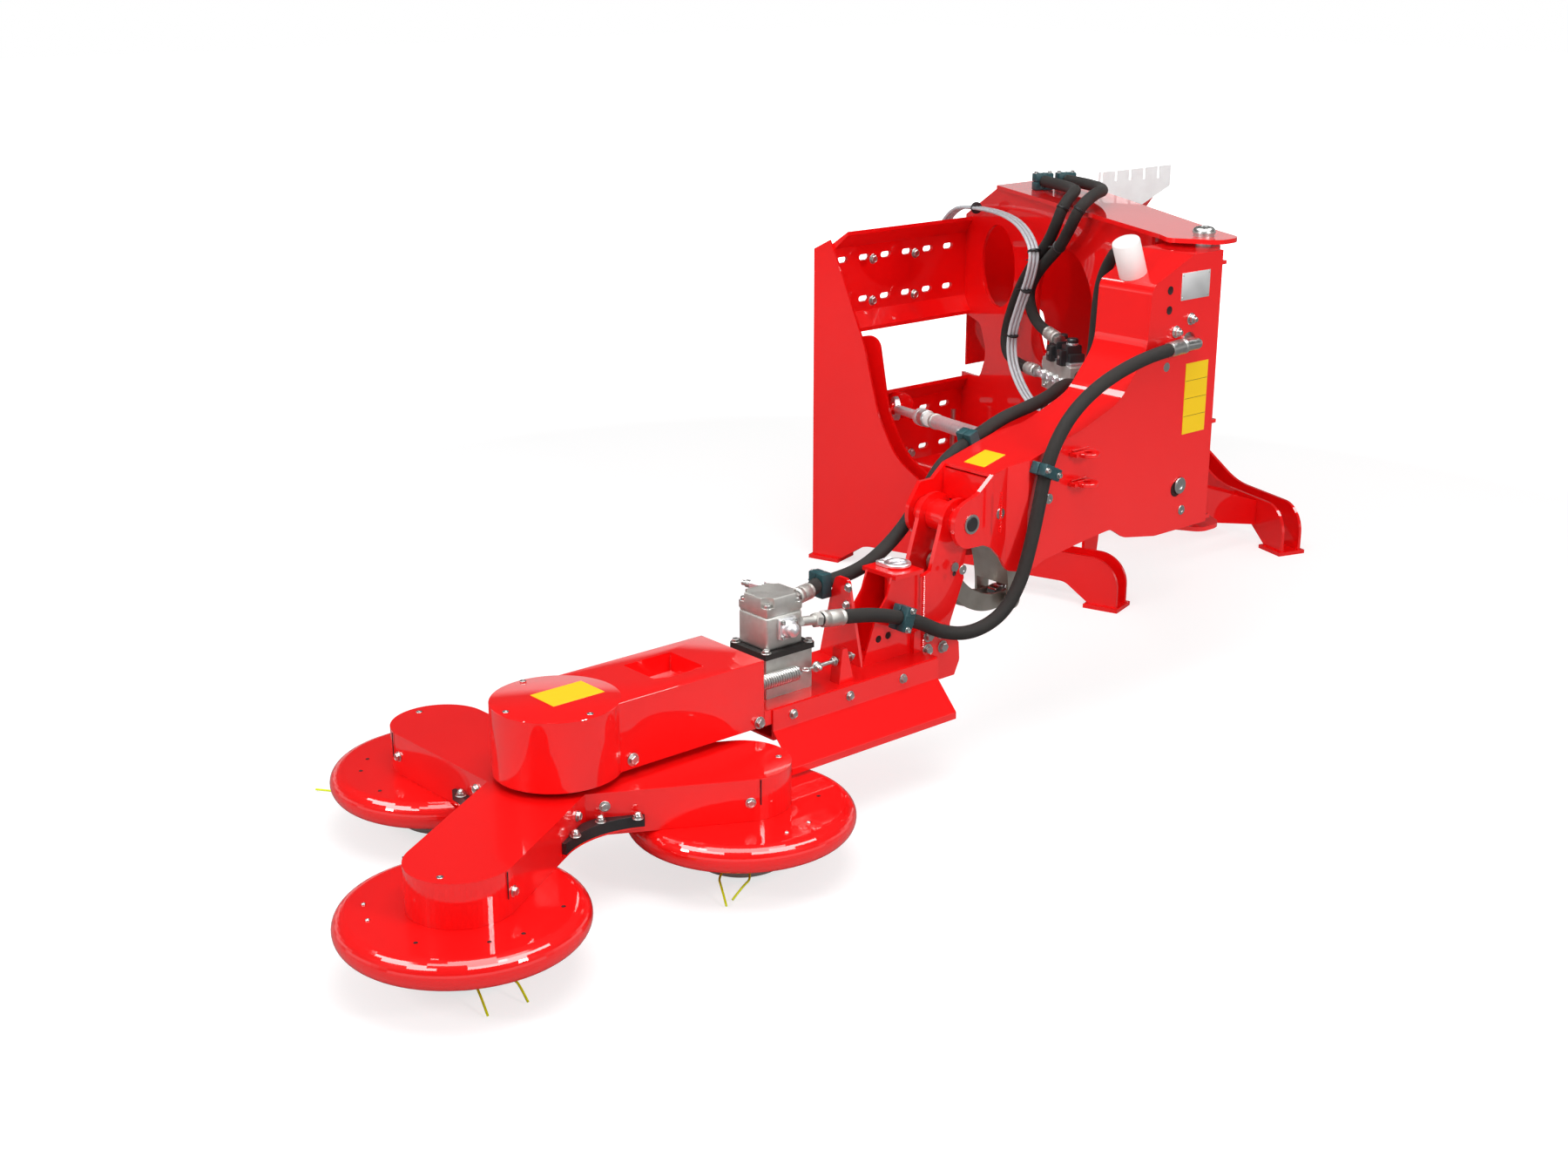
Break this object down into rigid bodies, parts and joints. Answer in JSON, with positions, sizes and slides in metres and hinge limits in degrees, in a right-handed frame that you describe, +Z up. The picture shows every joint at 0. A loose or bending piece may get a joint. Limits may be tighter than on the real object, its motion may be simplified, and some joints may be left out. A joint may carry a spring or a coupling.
{
  "type": "fence trimmer with a star of three trimmer heads",
  "caption": "Side-mounted fence trimmer: slotted mounting frame, folding hydraulic boom and a free-turning star of shielded string-trimmer heads.",
  "frame": {"origin": "underside of the left rear foot, on the floor", "axes": "+X to the right across the machine away from the trimmer star, +Y to the rear towards the tractor, +Z up"},
  "size_m": [4.1375, 1.8814, 1.2445],
  "materials": {
    "red_paint": "glossy bright red powder coat",
    "zinc": "zinc plated steel, satin",
    "stainless": "bare stainless plate, satin",
    "cast_aluminium": "fine cast aluminium",
    "black_rubber": "black rubber, matt",
    "cylinder_paint": "black painted cylinder tube",
    "chrome_rod": "hard chromed rod",
    "trimmer_plastic": "black moulded plastic",
    "green_plastic": "dark green moulded plastic",
    "white_plastic": "white moulded plastic",
    "grey_pvc": "silver grey cable sheath"
  },
  "bodies": {
    "frame": {"control_cables": "grey_pvc", "coupler_holder": "zinc", "feet": "red_paint", "hinge_pins": "zinc", "inner_side_plates": "red_paint", "left_side_plate": "red_paint", "leg_braces": "red_paint", "locking_rod": "zinc", "loop_hose": "black_rubber", "lower_left_hitch_panel": "red_paint", "lower_right_hitch_panel": "red_paint", "right_side_plate": "red_paint", "stay_lug": "red_paint", "tower_bottom_plate": "red_paint", "tower_far_wall": "red_paint", "tower_hose_clamps": "green_plastic", "tower_hoses": "black_rubber", "tower_near_wall": "red_paint", "tower_top_plate": "red_paint", "upper_left_hitch_panel": "red_paint", "upper_right_hitch_panel": "red_paint", "valve_block": "cast_aluminium"},
    "arm": {"arm_near_plate": "red_paint", "arm_far_plate": "red_paint", "arm_top_flange": "red_paint", "arm_nose": "red_paint", "arm_hinge_tube": "red_paint", "pivot_pin": "zinc", "arm_pins": "zinc", "arm_elbow": "zinc", "arm_stay_ears": "red_paint", "arm_hose_clamps": "green_plastic", "reservoir_cap": "white_plastic", "main_hose": "black_rubber", "motor_hose": "black_rubber"},
    "boom": {"boom_post": "red_paint", "link_pin": "zinc", "boom_beam": "red_paint", "post_side_bracket": "red_paint", "boss_bracket": "red_paint", "flap_guard": "red_paint", "tensioner_lug": "red_paint", "belt_cover": "red_paint", "gear_housing": "cast_aluminium", "motor_gasket": "black_rubber", "hydraulic_motor": "cast_aluminium", "boom_hose_clamps": "green_plastic", "belt_tensioner": "zinc"},
    "rocker": {"fold_rocker": "stainless"},
    "link": {"fold_link": "stainless"},
    "cylinder_barrel": {"fold_cylinder_barrel": "cylinder_paint"},
    "cylinder_rod": {"fold_cylinder_rod": "chrome_rod"},
    "stay_sleeve": {"stay_sleeve": "zinc"},
    "stay_screw": {"stay_screw": "zinc"},
    "star": {"star_cover": "red_paint", "shields": "red_paint", "star_bumpers": "black_rubber"},
    "trimmer_1": {"trimmer_head_1": "trimmer_plastic"},
    "trimmer_2": {"trimmer_head_2": "trimmer_plastic"},
    "trimmer_3": {"trimmer_head_3": "trimmer_plastic"}
  },
  "joints": [
    {"name": "arm_swing", "type": "hinge", "parent": "frame", "child": "arm", "pos_m": [0.08, -1.376, 0.8], "axis": [0, 0, 1], "range_deg": [-6, 6], "deforming": ["motor_hose", "loop_hose"]},
    {"name": "boom_fold", "type": "hinge", "parent": "arm", "child": "boom", "pos_m": [-0.82, -1.35, 0.588], "axis": [0, 1, 0], "range_deg": [-20, 90], "deforming": ["main_hose", "motor_hose"]},
    {"name": "rocker_pivot", "type": "hinge", "parent": "arm", "child": "rocker", "pos_m": [-0.721, -1.35, 0.596], "axis": [0, 1, 0], "range_deg": [-12.5, 54.5]},
    {"name": "link_pivot", "type": "hinge", "parent": "boom", "child": "link", "pos_m": [-0.832, -1.35, 0.474], "axis": [0, 1, 0], "range_deg": [-52.5, 12]},
    {"name": "cylinder_pivot", "type": "hinge", "parent": "arm", "child": "cylinder_barrel", "pos_m": [-0.15, -1.35, 0.88], "axis": [0, 1, 0], "range_deg": [-3.2, 12.6]},
    {"name": "cylinder_stroke", "type": "slide", "parent": "cylinder_barrel", "child": "cylinder_rod", "axis": [-0.6713, 0, -0.7412], "range_m": [-0.04, 0.178]},
    {"name": "stay_pivot", "type": "hinge", "parent": "arm", "child": "stay_sleeve", "pos_m": [-0.46, -1.245, 0.68], "axis": [-0.0575, 0.0339, 0.9978], "range_deg": [-5.6, 5.6]},
    {"name": "stay_length", "type": "slide", "parent": "stay_sleeve", "child": "stay_screw", "axis": [0.502, 0.8525, -0.1457], "range_m": [-0.057, 0.057]},
    {"name": "star_spin", "type": "hinge", "parent": "boom", "child": "star", "pos_m": [-1.99, -1.35, 0.2], "axis": [0, 0, 1], "continuous": true},
    {"name": "trimmer_1_spin", "type": "hinge", "parent": "star", "child": "trimmer_1", "pos_m": [-1.62881, -1.54611, 0.05], "axis": [0, 0, 1], "continuous": true},
    {"name": "trimmer_2_spin", "type": "hinge", "parent": "star", "child": "trimmer_2", "pos_m": [-2.00076, -0.93914, 0.05], "axis": [0, 0, 1], "continuous": true},
    {"name": "trimmer_3_spin", "type": "hinge", "parent": "star", "child": "trimmer_3", "pos_m": [-2.34043, -1.56475, 0.05], "axis": [0, 0, 1], "continuous": true}
  ],
  "couplings": [
    {"joint": "rocker_pivot", "follows": "boom_fold", "ratio": 0.5988},
    {"joint": "link_pivot", "follows": "boom_fold", "ratio": -0.5737},
    {"joint": "cylinder_pivot", "follows": "boom_fold", "ratio": 0.1344},
    {"joint": "cylinder_stroke", "follows": "boom_fold", "m_per_rad": 0.11162},
    {"joint": "stay_pivot", "follows": "arm_swing", "ratio": -0.879},
    {"joint": "stay_length", "follows": "arm_swing", "m_per_rad": 0.5257}
  ]
}
